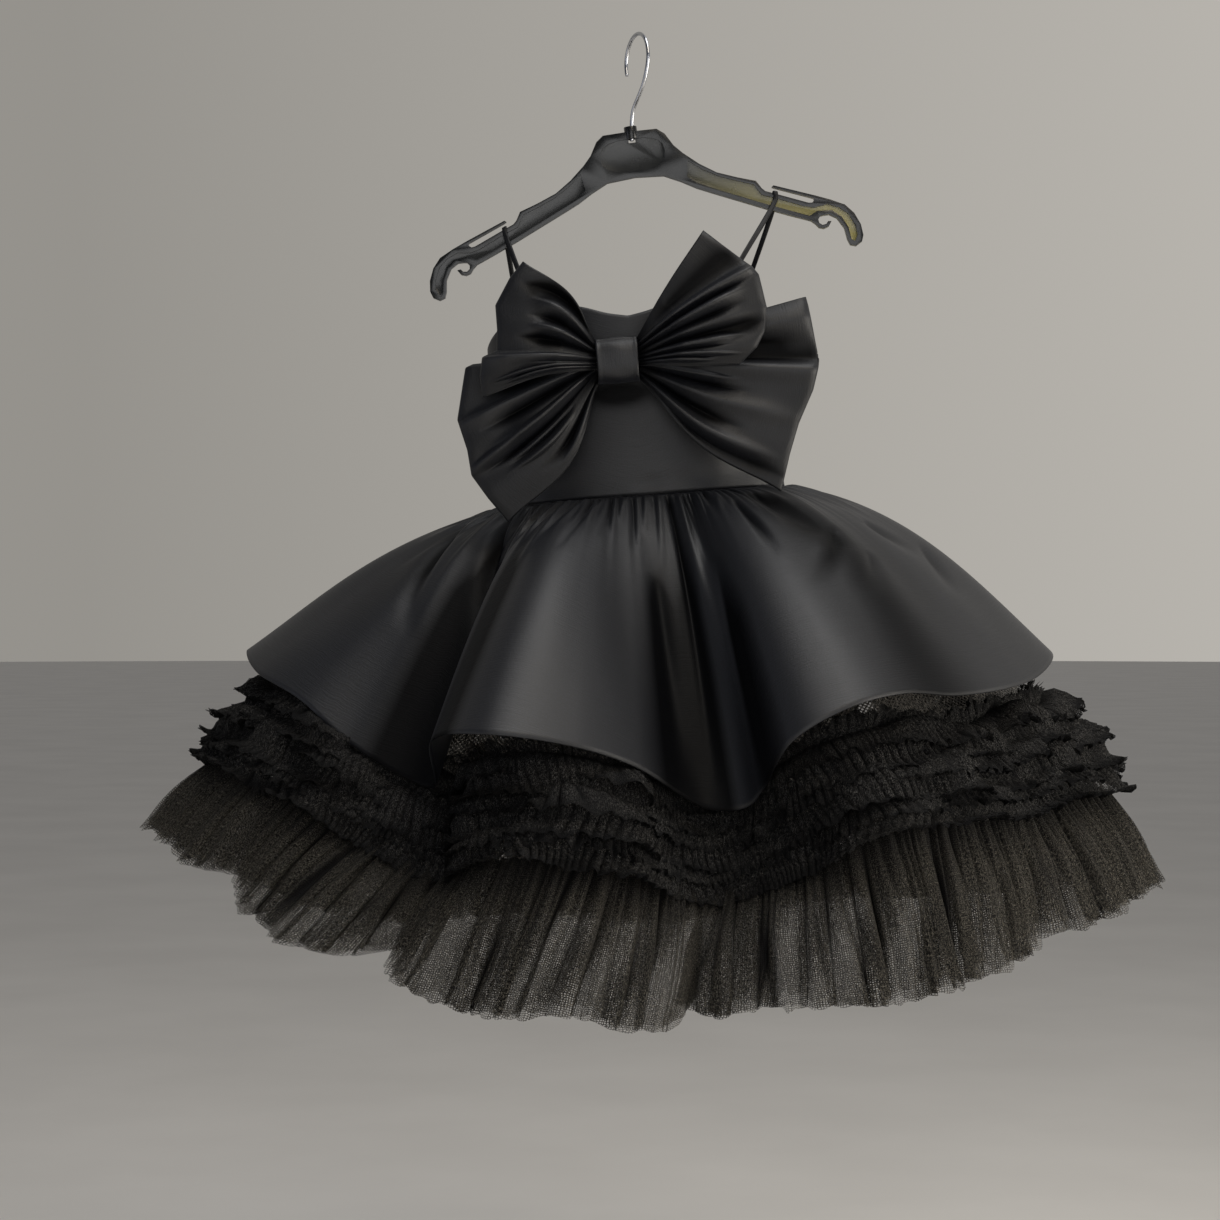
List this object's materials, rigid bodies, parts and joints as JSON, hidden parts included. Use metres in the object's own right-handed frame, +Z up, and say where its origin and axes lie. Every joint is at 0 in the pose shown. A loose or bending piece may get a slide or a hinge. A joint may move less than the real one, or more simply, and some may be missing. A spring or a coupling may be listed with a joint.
{
  "type": "pageant dress on hanger",
  "caption": "Child's black satin pageant dress with thin straps, a big front bow, a gathered overskirt and a tiered tulle petticoat, hung on a moulded hanger with a wire hook.",
  "frame": {"origin": "inside top of the hanger's hook, where it rests on its rail", "axes": "+X to the viewer's right along the rail, +Y from the dress's front to its back, +Z up"},
  "size_m": [0.7517, 0.5434, 0.7038],
  "materials": {
    "satin": "heavy duchess satin, soft broad sheen",
    "tulle": "fine hexagonal tulle, sheer",
    "net": "stiff petticoat net",
    "smoked_plastic": "moulded smoke-tinted polystyrene",
    "hook_steel": "bright plated steel wire",
    "zip_tape": "woven polyester tape",
    "zip_metal": "black lacquered zinc"
  },
  "bodies": {
    "dress": {"hanger": "smoked_plastic", "hanger_hook": "hook_steel", "bodice_front": "satin", "bodice_back_right": "satin", "bodice_back_left": "satin", "overskirt_front": "satin", "overskirt_back": "satin", "net_base_front": "net", "net_base_back": "net", "ruffle_1_front": "tulle", "ruffle_1_back": "tulle", "ruffle_2_front": "tulle", "ruffle_2_back": "tulle", "ruffle_3_front": "tulle", "ruffle_3_back": "tulle", "hem_ruffle_front": "tulle", "hem_ruffle_back": "tulle", "bow_upper_left": "satin", "bow_upper_right": "satin", "bow_lower_left": "satin", "bow_lower_right": "satin", "bow_knot": "satin", "zip_tape": "zip_tape", "zip_slider": "zip_metal", "strap_left": "satin", "strap_right": "satin"},
    "pull": {"zip_pull": "zip_metal"}
  },
  "joints": [
    {"name": "zip_pull_swing", "type": "hinge", "parent": "dress", "child": "pull", "pos_m": [-0.00545, 0.0697, -0.23212], "axis": [0.9971, 0, 0.0767], "range_deg": [0, 160]}
  ]
}
